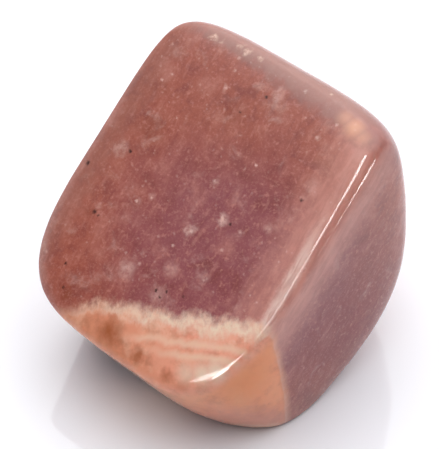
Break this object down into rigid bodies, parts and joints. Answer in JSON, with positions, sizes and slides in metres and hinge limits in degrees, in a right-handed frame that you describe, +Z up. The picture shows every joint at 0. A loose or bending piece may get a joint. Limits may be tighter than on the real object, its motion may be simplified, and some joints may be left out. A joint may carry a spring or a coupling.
{
  "type": "tumbled moonstone",
  "caption": "Tumbled, polished peach-pink moonstone: a worn block with rounded edges and corners, lying on a small flat spot.",
  "frame": {"origin": "on the surface that the stone rests on, under the middle of its bounding box", "axes": "+Z up from the flat spot that it rests on; the broad polished face looks up towards -X and -Y"},
  "size_m": [0.0294, 0.0292, 0.0246],
  "materials": {
    "moonstone": "polished, translucent peach and mauve-pink feldspar"
  },
  "bodies": {
    "root": {"moonstone": "moonstone"}
  },
  "joints": []
}
